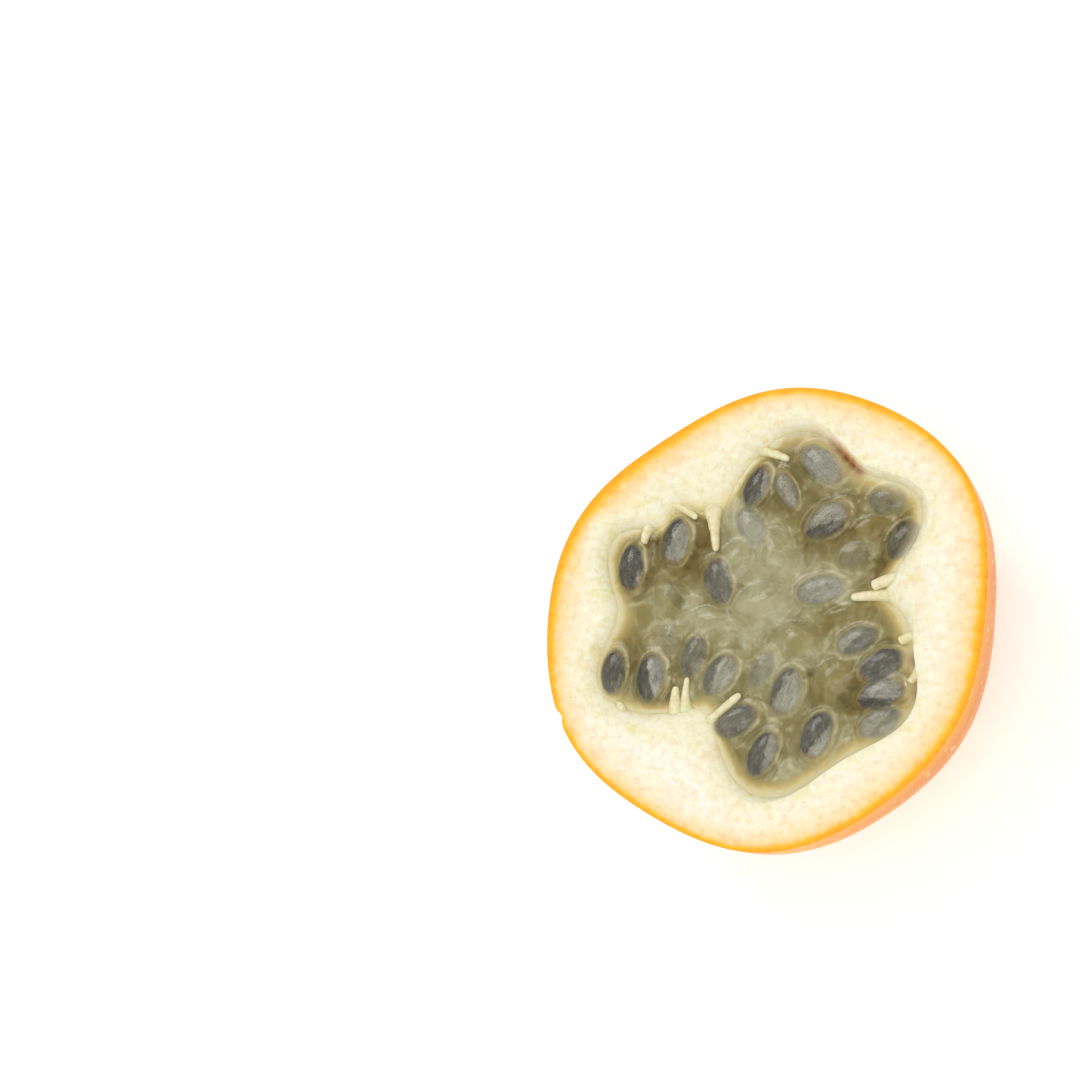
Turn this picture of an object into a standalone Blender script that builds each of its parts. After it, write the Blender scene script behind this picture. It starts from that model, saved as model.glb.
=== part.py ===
"""Half of a sweet passion fruit, cut across, lying on its rind with the cut face up.

Two solids: the shell (skin, spongy white lining, the three ridges that carry the seeds and the
cut seed stalks on them) and the pulp (jelly sacs with their seeds) that fills the hollow.
The origin is the middle of the small flat that the rind rests on, +Z is up and out of the cut.
Run it with blender --background --python part.py, or from the text editor.
"""

import math

import bmesh
import bpy
from mathutils import Matrix, Vector

MM = 0.001
TURN = 360

# The fruit, in millimetres. Angles are in degrees from +X, seen from above.
RIM_RADIUS = 33.2  # mean radius of the cut
RIM_WAVES = (  # how the cut departs from a circle: waves round it, height, where a crest is
    (2, 0.75, 42),
    (3, 0.75, 53),
    (6, 0.40, 31),
)
CUT_HEIGHT = 34.0  # the cut face above the rest
POLE_DEPTH = 34.7  # the rind's own end below the cut, which the resting flat trims
SEGMENTS = 84
SKIN_RINGS = 13

# The hollow.
HOLLOW_RADIUS = 30.8  # at the cut and between the ridges, before they narrow it
HOLLOW_DEPTH = 26.8
HOLLOW_RINGS = 7
RIDGES = (  # angle, how far it stands into the hollow, half width in degrees
    (12.2, 13.6, 16.9),
    (114.7, 11.2, 23.0),
    (236.5, 15.4, 24.4),
)
RIBS = (  # low ribs between the bays, in the same words
    (56.7, 5.0, 17.2),
    (140.8, 3.8, 6.8),
    (176.9, 5.6, 16.1),
    (300.4, 6.5, 30.1),
    (347.0, 6.7, 16.8),
)
LIP = 1.4  # below the cut the wall slopes in by this much
LIP_SWING = 1.2  # and by this much more at LIP_SIDE, less across from it
LIP_SIDE = 148
LIP_DEPTH = 1.2  # over about this depth
RIDGE_TOP = 0.62  # share of a ridge's reach at the cut itself; the rest comes in below it
RIDGE_SLOPE = 1.6  # the depth over which a ridge gets there

# Cut seed stalks: x, y of the free tip, heading from there to the ridge that it grows on,
# thickness at the tip, thickness at the root, and depth of the tip's upper side below the cut.
STALKS = (
    (-19.4, 11.5, 77, 1.1, 4.0, 0.7),
    (-8.1, 9.9, 101, 1.1, 4.6, 0.6),
    (-11.3, 15.0, 150, 1.0, 1.5, 0.8),
    (2.5, 23.0, 160, 1.1, 2.2, 0.7),
    (15.4, 3.8, 18, 1.6, 1.8, 0.4),
    (12.3, 2.4, 3, 1.3, 2.6, 0.8),
    (19.5, -4.2, 25, 1.3, 2.4, 0.6),
    (21.2, -10.1, 60, 1.2, 2.2, 0.7),
    (-22.2, -11.7, 285, 1.0, 2.6, 0.8),
    (-13.4, -9.7, 268, 1.1, 3.6, 0.6),
    (-11.8, -8.4, 266, 0.8, 3.2, 0.9),
    (-3.5, -11.1, 217, 1.1, 1.6, 0.4),
)
STALK_ROOT = 1.2  # how far a stalk runs on inside its ridge
STALK_FALL = 0.12  # how much deeper its upper side lies for each millimetre towards its root
STALK_SIDES = 8
STALK_ROWS = 5  # an odd number, so that no ring lies on the middle where the rod is drawn out

# The pulp.
GAP = 0.4  # clear of the shell all round, less where the wall runs slantwise
EDGE_LEVEL = 1.8  # depth of the pulp below the cut at the walls
MIDDLE_LEVEL = 1.5  # and in the middle
SEED_THICKNESS = 2.2
SEEDS = (  # x, y, heading, length, width, how deep the jelly covers it
    (-21.1, 8.0, 88, 6.8, 3.6, 0.2),
    (-14.3, 11.6, 82, 6.7, 4.1, 0.3),
    (-7.6, 5.6, 104, 6.9, 3.9, 0.5),
    (-2.2, 19.2, 65, 6.4, 3.2, 0.2),
    (7.4, 22.0, 143, 7.2, 4.3, 0.4),
    (17.0, 16.6, 6, 6.0, 3.9, 1.3),
    (8.4, 13.8, 33, 6.9, 4.2, 0.4),
    (19.7, 10.4, 52, 6.0, 4.3, 1.0),
    (12.4, 8.9, 18, 5.6, 3.4, 1.5),
    (7.7, 3.7, 9, 7.4, 3.8, 0.5),
    (13.1, -3.8, 22, 6.3, 3.2, 0.6),
    (16.9, -7.5, 26, 6.9, 4.1, 0.3),
    (17.2, -11.5, 17, 7.1, 3.7, 0.1),
    (16.9, -15.6, 24, 6.6, 3.9, 0.7),
    (7.9, -17.3, 70, 7.0, 4.1, 0.2),
    (3.2, -10.8, 71, 6.8, 4.3, 0.5),
    (0.0, -19.7, 65, 6.8, 3.6, 0.3),
    (-4.3, -14.8, 27, 6.6, 3.9, 0.6),
    (-17.3, -8.3, 86, 6.8, 4.1, 0.1),
    (-23.2, -7.4, 84, 6.6, 3.5, 0.3),
    (-11.2, -5.2, 71, 6.2, 3.3, 0.9),
    (-6.8, -8.1, 51, 6.4, 4.0, 0.6),
    (-15.2, -2.6, 77, 5.4, 2.9, 1.6),
    (-0.8, -7.5, 60, 5.6, 2.9, 1.3),
    (-3.1, 13.4, 122, 6.4, 3.7, 1.0),
    (2.2, 18.6, 117, 6.0, 2.6, 0.6),
)
SAC_LONGER = 4.6  # a seed's jelly sac is longer than the seed by this,
SAC_WIDER = 3.4  # wider by this,
SAC_THICKNESS = 6.0  # and this thick
SACS = (  # sacs whose seed lies out of sight: x, y, heading, length, width, top below the cut
    (-5.4, 8.2, 62, 11.0, 7.0, 0.7),
    (0.6, 8.6, 100, 12.0, 8.0, 0.5),
    (-1.0, 1.6, 20, 13.0, 8.5, 0.3),
    (-8.6, -0.4, 170, 11.0, 7.0, 0.8),
    (-15.6, 3.2, 95, 10.0, 6.5, 1.3),
    (-20.6, 0.6, 80, 9.0, 6.0, 1.8),
    (4.6, -3.6, 150, 11.0, 7.0, 0.6),
    (11.0, 0.2, 12, 12.0, 5.0, 1.2),
    (9.8, -9.0, 40, 12.0, 7.5, 0.8),
    (5.0, -23.6, 165, 10.0, 6.0, 1.8),
    (12.2, -18.8, 60, 10.0, 6.0, 1.5),
    (13.8, 12.6, 28, 11.0, 5.5, 1.3),
    (3.4, 12.6, 95, 9.0, 5.0, 1.6),
    (-20.0, -12.0, 95, 9.0, 5.5, 2.0),
)
SAC_SIDES = 12
SAC_ROWS = 8
SEED_SIDES = 8
SEED_ROWS = 6
SEED_PROUD = 0.25  # the sac rises by this over a seed close under it
SHALLOW = 0.8  # seeds covered by more than this don't lift their sac

SKIN_ORANGE = (0.86, 0.33, 0.02)
JELLY_OLIVE = (0.42, 0.42, 0.24)


def bump(angle, places):
    """How far the ridges or ribs in places stand in at this angle."""
    reach = 0.0
    for middle, height, width in places:
        away = (angle - middle + TURN / 2) % TURN - TURN / 2
        reach += height * math.exp(-((away / width) ** 2))
    return reach


def rim_radius(angle):
    """The cut's outer edge: a circle with a few broad waves."""
    waves = sum(
        height * math.cos(math.radians(count * (angle - crest)))
        for count, height, crest in RIM_WAVES
    )
    return RIM_RADIUS + waves


def skin_radius(angle, depth):
    """The rind's outside at this depth below the cut, on an ellipse down to the pole."""
    return rim_radius(angle) * math.sqrt(1 - (depth / POLE_DEPTH) ** 2)


def hollow_radius(angle, depth, inset=0.0):
    """The hollow's wall at this depth: round bays between ridges, sloping in below the cut."""
    below = max(depth, 0.0)
    slope = LIP + LIP_SWING * math.cos(math.radians(angle - LIP_SIDE))
    lip = slope * (1 - math.exp(-below / LIP_DEPTH))
    ridge_share = 1 - (1 - RIDGE_TOP) * math.exp(-below / RIDGE_SLOPE)
    wall = HOLLOW_RADIUS - ridge_share * bump(angle, RIDGES) - bump(angle, RIBS)
    return (wall - lip - inset) * math.sqrt(1 - (below / (HOLLOW_DEPTH - inset)) ** 2)


def ringed(rings, radius_at):
    """A closed body from rings of (share of the radius, depth below the cut), capped at both ends."""
    bm = bmesh.new()
    bmesh.ops.create_circle(bm, cap_ends=True, segments=SEGMENTS, radius=1)
    ring = sorted(bm.verts, key=lambda v: math.atan2(v.co.y, v.co.x) % math.tau)
    angles = [math.degrees(math.atan2(v.co.y, v.co.x)) % TURN for v in ring]
    edges = list(bm.edges)
    for number, (share, depth) in enumerate(rings):
        if number:
            made = bmesh.ops.extrude_edge_only(bm, edges=edges)["geom"]
            edges = [e for e in made if isinstance(e, bmesh.types.BMEdge)]
            ends = {v for e in edges for v in e.verts}
            ring = sorted(ends, key=lambda v: math.atan2(v.co.y, v.co.x) % math.tau)
        for vertex, angle in zip(ring, angles):
            radius = share * radius_at(angle, depth)
            side = Vector((math.cos(math.radians(angle)), math.sin(math.radians(angle)), 0))
            vertex.co = side * radius + Vector((0, 0, CUT_HEIGHT - depth))
    bmesh.ops.edgeloop_fill(bm, edges=edges)
    bmesh.ops.recalc_face_normals(bm, faces=bm.faces)
    return bm


def rounded_depths(full, count, start=0.0, end=1.0):
    """Depths from start to end, as shares of full, closer together towards the pole."""
    first, last = math.asin(start), math.asin(end)
    return [full * math.sin(first + (last - first) * n / count) for n in range(count + 1)]


def as_object(name, bm):
    """A mesh object, in millimetres until it is finished."""
    mesh = bpy.data.meshes.new(name)
    bm.to_mesh(mesh)
    bm.free()
    thing = bpy.data.objects.new(name, mesh)
    bpy.context.scene.collection.objects.link(thing)
    return thing


def pebble(name, x, y, top, heading, size, sides, rows):
    """An egg-like lump of size (length, width, height) lying along heading, its top at that depth."""
    length, width, height = size
    bm = bmesh.new()
    bmesh.ops.create_uvsphere(bm, u_segments=sides, v_segments=rows, radius=0.5)
    bmesh.ops.rotate(bm, verts=bm.verts, matrix=Matrix.Rotation(math.pi / 2, 3, "Y"))
    bmesh.ops.scale(bm, vec=(length, width, height), verts=bm.verts)
    bmesh.ops.rotate(bm, verts=bm.verts, matrix=Matrix.Rotation(math.radians(heading), 3, "Z"))
    middle = Vector((x, y, CUT_HEIGHT - top - height / 2))
    bmesh.ops.translate(bm, verts=bm.verts, vec=middle)
    return as_object(name, bm)


def stalk_length(x, y, heading, depth):
    """From the tip along the heading to where its upper side, at that depth, is well in the wall."""
    step = Vector((math.cos(math.radians(heading)), math.sin(math.radians(heading)))) * 0.2
    end = Vector((x, y))
    while end.length < hollow_radius(math.degrees(math.atan2(end.y, end.x)), depth):
        end += step
        depth += step.length * STALK_FALL
    return (end - Vector((x, y))).length + STALK_ROOT


def stalk(name, place, swell=0.0):
    """A stalk, wider at its root. With swell it is the trench that the pulp leaves clear for it."""
    x, y, heading, tip_thick, root_thick, top = place
    length = stalk_length(x, y, heading, top)
    bm = bmesh.new()
    bmesh.ops.create_uvsphere(bm, u_segments=STALK_SIDES, v_segments=STALK_ROWS, radius=1)
    bmesh.ops.rotate(bm, verts=bm.verts, matrix=Matrix.Rotation(math.pi / 2, 3, "Y"))
    for vertex in bm.verts:
        at_root = vertex.co.x > 0
        upper = vertex.co.z > 0.25
        vertex.co *= (root_thick if at_root else tip_thick) / 2 + swell
        if at_root:
            vertex.co.x += length - (tip_thick + root_thick) / 2
            vertex.co.z -= (root_thick - tip_thick) / 2 + length * STALK_FALL
        if swell and upper:
            vertex.co.z = top + tip_thick / 2 + 1
    bmesh.ops.translate(bm, verts=bm.verts, vec=(tip_thick / 2, 0, 0))
    bmesh.ops.rotate(bm, verts=bm.verts, matrix=Matrix.Rotation(math.radians(heading), 3, "Z"))
    bmesh.ops.translate(bm, verts=bm.verts, vec=(x, y, CUT_HEIGHT - top - tip_thick / 2))
    return as_object(name, bm)


def combine(base, operation, others, solver="EXACT"):
    """Applies one Boolean of base with a collection of others, and removes them."""
    group = bpy.data.collections.new(base.name + "_" + operation.lower())
    bpy.context.scene.collection.children.link(group)
    for other in others:
        bpy.context.scene.collection.objects.unlink(other)
        group.objects.link(other)
    modifier = base.modifiers.new(operation.lower(), "BOOLEAN")
    modifier.operation = operation
    modifier.solver = solver
    modifier.operand_type = "COLLECTION"
    modifier.collection = group
    bpy.context.view_layer.update()
    evaluated = base.evaluated_get(bpy.context.evaluated_depsgraph_get())
    joined = bpy.data.meshes.new_from_object(evaluated)
    base.modifiers.clear()
    base.data = joined
    for other in others:
        bpy.data.objects.remove(other)
    bpy.data.collections.remove(group)
    return base


def material(name, colour, roughness):
    """A plain surface of that colour."""
    made = bpy.data.materials.new(name)
    made.use_nodes = True
    surface = made.node_tree.nodes["Principled BSDF"]
    surface.inputs["Base Color"].default_value = (*colour, 1)
    surface.inputs["Roughness"].default_value = roughness
    surface.inputs["Metallic"].default_value = 0.0
    return made


def finish(thing, surface, crease=40):
    """Brings it to metres. Round surfaces shade smooth up to that crease, in degrees."""
    thing.data.transform(Matrix.Scale(MM, 4))
    thing.data.materials.clear()
    thing.data.materials.append(surface)
    thing.data.shade_smooth()
    thing.data.set_sharp_from_angle(angle=math.radians(crease))


def hollow_body(name, inset, top):
    """The hollow's own shape, inset from its wall, from that depth to its floor."""
    depths = [top, 0.0, 0.6, 1.3, 2.2]
    depths += rounded_depths(HOLLOW_DEPTH - inset, HOLLOW_RINGS, 0.14, 0.985)
    return as_object(name, ringed([(1, d) for d in depths], lambda a, d: hollow_radius(a, d, inset)))


def make_shell():
    """Skin and lining in one, hollowed out, with the seed stalks standing on its ridges."""
    depths = rounded_depths(POLE_DEPTH, SKIN_RINGS, 0.0, CUT_HEIGHT / POLE_DEPTH)
    shell = as_object("shell", ringed([(1, d) for d in depths], skin_radius))
    combine(shell, "DIFFERENCE", [hollow_body("hollow", 0.0, -3.0)])
    stalks = [stalk(f"stalk_{n}", place) for n, place in enumerate(STALKS)]
    combine(shell, "UNION", stalks)
    finish(shell, material("orange_rind", SKIN_ORANGE, 0.4))
    return shell


def pulp_core():
    """The hollow's filling up to the edge level and crowned in the middle, wider than its room."""
    rise = EDGE_LEVEL - MIDDLE_LEVEL
    crown = ((0.15, 0.0), (0.4, 0.1), (0.65, 0.35), (0.85, 0.7), (1.0, 1.0), (1.15, 1.0))
    rings = [(share, MIDDLE_LEVEL + rise * fall) for share, fall in crown]
    rings.append((1.15, HOLLOW_DEPTH + 2))
    return as_object("pulp", ringed(rings, lambda a, d: hollow_radius(a, 0.0)))


def drop_scraps(thing):
    """Keeps the largest body and removes the crumbs that the cuts left beside it."""
    bm = bmesh.new()
    bm.from_mesh(thing.data)
    unseen = set(bm.verts)
    bodies = []
    while unseen:
        body = {unseen.pop()}
        front = list(body)
        while front:
            near = {e.other_vert(v) for v in front for e in v.link_edges} & unseen
            unseen -= near
            body |= near
            front = list(near)
        bodies.append(body)
    bodies.sort(key=len)
    crumbs = [v for body in bodies[:-1] for v in body]
    bmesh.ops.delete(bm, geom=crumbs, context="VERTS")
    bm.to_mesh(thing.data)
    bm.free()


def make_pulp():
    """The filling with the sacs and the seeds fused on, kept clear of the wall and the stalks."""
    pulp = pulp_core()
    lumps = []
    for n, (x, y, heading, length, width, covered) in enumerate(SEEDS):
        sac_size = (length + SAC_LONGER, width + SAC_WIDER, SAC_THICKNESS)
        sac_top = 0.4 + covered * 0.6
        lumps.append(pebble(f"sac_{n}", x, y, sac_top, heading, sac_size, SAC_SIDES, SAC_ROWS))
        if covered < SHALLOW:
            seed_size = (length, width, SEED_THICKNESS)
            seed_top = sac_top - SEED_PROUD
            lumps.append(pebble(f"seed_{n}", x, y, seed_top, heading, seed_size, SEED_SIDES, SEED_ROWS))
    for n, (x, y, heading, length, width, top) in enumerate(SACS):
        sac_size = (length, width, SAC_THICKNESS)
        lumps.append(pebble(f"blank_{n}", x, y, top, heading, sac_size, SAC_SIDES, SAC_ROWS))
    combine(pulp, "UNION", lumps, "MANIFOLD")
    combine(pulp, "INTERSECT", [hollow_body("room", GAP, -2.0)], "MANIFOLD")
    trenches = [stalk(f"trench_{n}", place, GAP) for n, place in enumerate(STALKS)]
    combine(pulp, "DIFFERENCE", trenches, "MANIFOLD")
    drop_scraps(pulp)
    finish(pulp, material("jelly", JELLY_OLIVE, 0.2))
    return pulp


def main():
    for thing in list(bpy.data.objects):
        bpy.data.objects.remove(thing)
    make_shell()
    make_pulp()


main()
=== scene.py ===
import math
import random

import bmesh
import bpy
import numpy as np
from mathutils import Matrix, Vector, noise


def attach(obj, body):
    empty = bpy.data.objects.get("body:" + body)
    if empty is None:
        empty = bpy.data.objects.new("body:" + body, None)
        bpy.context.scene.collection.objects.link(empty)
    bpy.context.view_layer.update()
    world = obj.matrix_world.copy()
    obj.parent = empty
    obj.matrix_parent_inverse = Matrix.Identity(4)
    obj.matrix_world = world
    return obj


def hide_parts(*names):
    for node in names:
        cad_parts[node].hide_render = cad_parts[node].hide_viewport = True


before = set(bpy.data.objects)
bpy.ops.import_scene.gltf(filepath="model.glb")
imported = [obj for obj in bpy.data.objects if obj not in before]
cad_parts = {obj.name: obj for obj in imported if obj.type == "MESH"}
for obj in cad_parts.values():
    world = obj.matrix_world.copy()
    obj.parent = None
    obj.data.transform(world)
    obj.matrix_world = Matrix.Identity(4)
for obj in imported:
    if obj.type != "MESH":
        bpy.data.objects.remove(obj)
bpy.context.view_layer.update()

# The fruit's own sizes, in millimetres and degrees, as its solids have them, and last the brown shade
# painted where jelly meets wall.
fruit = {
    "rimRadius": 33.2,  # mean radius of the cut
    "rimWaves": ((2, 0.75, 42), (3, 0.75, 53), (6, 0.40, 31)),  # waves round it, height, crest
    "cutHeight": 34.0,
    "poleDepth": 34.7,  # where the skin would close below, without the flat that the fruit rests on
    "hollowRadius": 30.8,
    "hollowDepth": 26.8,
    "ridges": ((12.2, 13.6, 16.9), (114.7, 11.2, 23.0), (236.5, 15.4, 24.4)),  # angle, reach, width
    "ribs": (  # low ribs between the ridges, in the same words
        (56.7, 5.0, 17.2), (140.8, 3.8, 6.8), (176.9, 5.6, 16.1), (300.4, 6.5, 30.1), (347.0, 6.7, 16.8),
    ),
    "lip": 1.4,  # the wall slopes in by this much below the cut
    "lipSwing": 1.2,  # and by this much more at lipSide, less across from it
    "lipSide": 148,
    "lipDepth": 1.2,  # how far down that takes
    "ridgeTop": 0.62,  # share of a ridge's reach at the cut
    "ridgeSlope": 1.6,  # how far down it takes to gain the rest
    # places painted with brown shade in the gaps between jelly and wall: x, y, radius, strength
    "gapShadeSpots": (
        (3.6, 25.9, 1.8, 0.25), (6.4, 26.0, 1.6, 0.3), (9.0, 24.9, 1.3, 0.5), (10.0, 23.9, 1.3, 0.75),
        (11.0, 22.8, 1.3, 0.95), (11.9, 21.8, 1.3, 0.95), (12.7, 20.8, 1.1, 0.75), (20.8, -7.2, 1.6, 0.6),
        (22.0, -11.4, 1.6, 0.6), (14.8, 5.2, 1.0, 0.5), (-0.6, 23.2, 1.0, 0.4),
    ),
    "gapShadeDepth": 0.8,  # below the cut, where they have their full strength
}


# The sum of bumps given as (angle, height, half width).
def bumpSum(angle, places):
    reach = np.zeros_like(angle)
    for middle, height, width in places:
        away = (angle - middle + 180) % 360 - 180
        reach += height * np.exp(-((away / width) ** 2))
    return reach


def skinRadius(angle, depth):
    waves = sum(h * np.cos(np.radians(n * (angle - crest))) for n, h, crest in fruit["rimWaves"])
    return (fruit["rimRadius"] + waves) * np.sqrt(1 - (depth / fruit["poleDepth"]) ** 2)


def hollowRadius(angle, depth, spare=0.0):
    below = np.clip(depth, 0, None)
    slope = fruit["lip"] + fruit["lipSwing"] * np.cos(np.radians(angle - fruit["lipSide"]))
    lip = slope * (1 - np.exp(-below / fruit["lipDepth"]))
    share = 1 - (1 - fruit["ridgeTop"]) * np.exp(-below / fruit["ridgeSlope"])
    wall = fruit["hollowRadius"] - share * bumpSum(angle, fruit["ridges"]) - bumpSum(angle, fruit["ribs"])
    deep = np.clip(1 - (below / (fruit["hollowDepth"] + spare)) ** 2, 0.02, 1)
    return (wall - lip + spare) * np.sqrt(deep)


def spin(bm, degrees, axis):
    bmesh.ops.rotate(bm, verts=bm.verts, matrix=Matrix.Rotation(math.radians(degrees), 3, axis))


# A closed body from rings of (radii, depth, material index), with a radius for each of the angles.
def ringBody(angles, rings):
    bm = bmesh.new()
    count = len(angles)
    bmesh.ops.create_circle(bm, cap_ends=True, segments=count, radius=1)
    spin(bm, 180 / count, "Z")
    edges = list(bm.edges)
    cosines, sines = np.cos(np.radians(angles)), np.sin(np.radians(angles))
    for number, (radii, depth, finish) in enumerate(rings):
        if number:
            made = bmesh.ops.extrude_edge_only(bm, edges=edges)["geom"]
            edges = [e for e in made if isinstance(e, bmesh.types.BMEdge)]
            for face in made:
                if isinstance(face, bmesh.types.BMFace):
                    face.material_index = finish
        ends = {v for e in edges for v in e.verts}
        ring = sorted(ends, key=lambda v: math.atan2(v.co.y, v.co.x) % math.tau)
        for n, vertex in enumerate(ring):
            vertex.co = (radii[n] * cosines[n], radii[n] * sines[n], fruit["cutHeight"] - depth)
    cap = bmesh.ops.edgeloop_fill(bm, edges=edges)["faces"]
    for face in cap:
        face.material_index = rings[-1][2]
    bmesh.ops.recalc_face_normals(bm, faces=bm.faces)
    return bm


def ringAngles(count):
    return (np.arange(count) + 0.5) * 360 / count


# Adds a small bmesh to a large one through a passing mesh, which is far quicker than growing it in place.
def pourInto(bm, part):
    passing = bpy.data.meshes.new("passing")
    part.to_mesh(passing)
    part.free()
    bm.from_mesh(passing)
    bpy.data.meshes.remove(passing)


def toObject(name, bm):
    mesh = bpy.data.meshes.new(name)
    bm.to_mesh(mesh)
    bm.free()
    thing = bpy.data.objects.new(name, mesh)
    bpy.context.scene.collection.objects.link(thing)
    return thing


# Adds a modifier, takes its result and drops it.
def withModifier(thing, kind, **settings):
    modifier = thing.modifiers.new(kind.lower(), kind)
    for name, value in settings.items():
        setattr(modifier, name, value)
    bpy.context.view_layer.update()
    graph = bpy.context.evaluated_depsgraph_get()
    made = bpy.data.meshes.new_from_object(thing.evaluated_get(graph))
    thing.modifiers.clear()
    made.materials.clear()
    thing.data = made


def points(mesh):
    flat = np.empty(len(mesh.vertices) * 3, np.float32)
    mesh.vertices.foreach_get("co", flat)
    return flat.reshape(-1, 3).astype(float)


def setPoints(mesh, places):
    mesh.vertices.foreach_set("co", places.astype(np.float32).ravel())
    mesh.update()


# Angle and distance from the fruit's axis.
def polar(place):
    return np.degrees(np.arctan2(place[:, 1], place[:, 0])), np.hypot(place[:, 0], place[:, 1])


# Distances along a heading and square to it.
def headed(away, heading):
    turn = math.radians(heading)
    along = away[:, 0] * math.cos(turn) + away[:, 1] * math.sin(turn)
    aside = -away[:, 0] * math.sin(turn) + away[:, 1] * math.cos(turn)
    return along, aside


# Stores a number or a vector at each vertex, for the materials to read.
def paint(mesh, name, values):
    kind = "FLOAT_VECTOR" if values.ndim == 2 else "FLOAT"
    layer = mesh.attributes.new(name, kind, "POINT")
    layer.data.foreach_set("vector" if values.ndim == 2 else "value", values.astype(np.float32).ravel())


# Brown painted shade in the gaps between jelly and wall, fading in below the cut.
def paintGapShade(mesh):
    place = points(mesh)
    depth = fruit["cutHeight"] - place[:, 2]
    total = np.zeros(len(place))
    for x, y, radius, strength in fruit["gapShadeSpots"]:
        away = np.hypot(place[:, 0] - x, place[:, 1] - y)
        total = np.maximum(total, strength * np.exp(-((away / radius) ** 2)))
    paint(mesh, "gapShade", total * np.clip(depth / fruit["gapShadeDepth"], 0, 1))


# Millimetres to metres, and the piece joins the fruit.
def finishPiece(thing, node, slot, *finishes):
    thing.data.transform(Matrix.Scale(0.001, 4))
    thing.data.shade_smooth()
    for finish in finishes:
        thing.data.materials.append(finish)
    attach(thing, "root")
    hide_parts(node)
    return thing


def linear(code):
    channels = [int(code[n:n + 2], 16) / 255 for n in (1, 3, 5)]
    return tuple(c / 12.92 if c <= 0.04045 else ((c + 0.055) / 1.055) ** 2.4 for c in channels) + (1.0,)


def newMaterial(name):
    made = bpy.data.materials.new(name)
    made.use_nodes = True
    made.node_tree.nodes.clear()
    return made, made.node_tree


# One node with its settings. Inputs are named, or listed in the order of the sockets in use; each is a
# value, a colour's code, or the socket or node that feeds it. Stops are the colours of a ramp.
def addNode(tree, kind, inputs=(), stops=(), **settings):
    node = tree.nodes.new("ShaderNode" + kind)
    for name, value in settings.items():
        setattr(node, name, value)
    for _ in stops[2:]:
        node.color_ramp.elements.new(0.5)
    for n, (place, colour) in enumerate(stops):
        node.color_ramp.elements[n].position = place
        node.color_ramp.elements[n].color = linear(colour)
    if not isinstance(inputs, dict):
        inputs = dict(zip([n for n, socket in enumerate(node.inputs) if socket.enabled], inputs))
    for name, value in inputs.items():
        if isinstance(value, bpy.types.Node):
            value = next(socket for socket in value.outputs if socket.enabled)
        if isinstance(value, bpy.types.NodeSocket):
            tree.links.new(value, node.inputs[name])
        else:
            node.inputs[name].default_value = linear(value) if isinstance(value, str) else value
    return node


view = {
    "lens": 100.0,  # mm
    "sensor": 36,
    "tilt": 23.0,  # off the cut face's normal
    "lean": -32.0,  # the way it leans, in degrees from +X
    "frame": 1080,  # pixels
    "faceAt": (764.4, 615.0),  # where the middle of the cut face stands in the frame
    "scale": 0.1416,  # mm to a pixel there
}


def makeCamera():
    lean, tilt = math.radians(view["lean"]), math.radians(view["tilt"])
    back = Vector((math.cos(lean) * math.sin(tilt), math.sin(lean) * math.sin(tilt), math.cos(tilt)))
    aim = Vector((
        (view["faceAt"][0] / view["frame"] - 0.5) * view["sensor"],
        (0.5 - view["faceAt"][1] / view["frame"]) * view["sensor"],
        -view["lens"],
    ))
    depth = view["lens"] / view["sensor"] * view["frame"] * view["scale"]
    turn = Vector((0, 0, 1)).rotation_difference(back)
    turn = turn @ Vector((0, 0, -1)).rotation_difference(aim).inverted()
    data = bpy.data.cameras.new("camera")
    data.lens = view["lens"]
    data.sensor_width = view["sensor"]
    data.clip_start = 0.02
    data.clip_end = 20
    camera = bpy.data.objects.new("camera", data)
    camera.rotation_mode = "QUATERNION"
    camera.rotation_quaternion = turn
    middle = Vector((0, 0, fruit["cutHeight"]))
    camera.location = (middle + back * (depth * aim.length / view["lens"])) * 0.001
    bpy.context.scene.collection.objects.link(camera)
    bpy.context.scene.camera = camera


studio = {
    "world": 0.74,  # strength of the white light from all round
    "softboxes": (  # name, side in metres, watts, degrees round from +X, degrees up, metres away
        ("frontSoftbox", 0.45, 1.5, -55.0, 64.0, 0.75),
        ("backSoftbox", 0.26, 0.9, 128.0, 52.0, 0.75),
    ),
    "floorHalf": 1.5,  # metres
    "floorGlow": 0.25,  # how much the sweep is lit from behind
}


def makeStudio():
    world = bpy.data.worlds.new("studio")
    world.use_nodes = True
    background = world.node_tree.nodes["Background"]
    background.inputs["Color"].default_value = (1, 1, 1, 1)
    background.inputs["Strength"].default_value = studio["world"]
    bpy.context.scene.world = world
    bpy.context.scene.view_settings.view_transform = "Standard"

    for name, side, watts, around, up, away in studio["softboxes"]:
        light = bpy.data.lights.new(name, "AREA")
        light.size = side
        light.energy = watts
        box = bpy.data.objects.new(name, light)
        around, up = math.radians(around), math.radians(up)
        toward = Vector((math.cos(around) * math.cos(up), math.sin(around) * math.cos(up), math.sin(up)))
        box.location = toward * away
        box.rotation_mode = "QUATERNION"
        box.rotation_quaternion = toward.to_track_quat("Z", "Y")
        bpy.context.scene.collection.objects.link(box)

    bm = bmesh.new()
    bmesh.ops.create_grid(bm, x_segments=8, y_segments=8, size=studio["floorHalf"])
    floor = toObject("floor", bm)
    paper, tree = newMaterial("whitePaperSweep")  # matt white card, lit from behind to a clean white
    grain = addNode(tree, "TexNoise", {"Scale": 900.0, "Detail": 2.0})
    tone = addNode(tree, "ValToRGB", [grain], [(0.3, "#f8f8f7"), (0.7, "#fcfcfb")])
    surface = addNode(tree, "BsdfPrincipled", {
        "Base Color": tone, "Roughness": 0.8,
        "Emission Color": (1, 1, 1, 1), "Emission Strength": studio["floorGlow"],
    })
    addNode(tree, "OutputMaterial", {"Surface": surface})
    floor.data.materials.append(paper)


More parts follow.
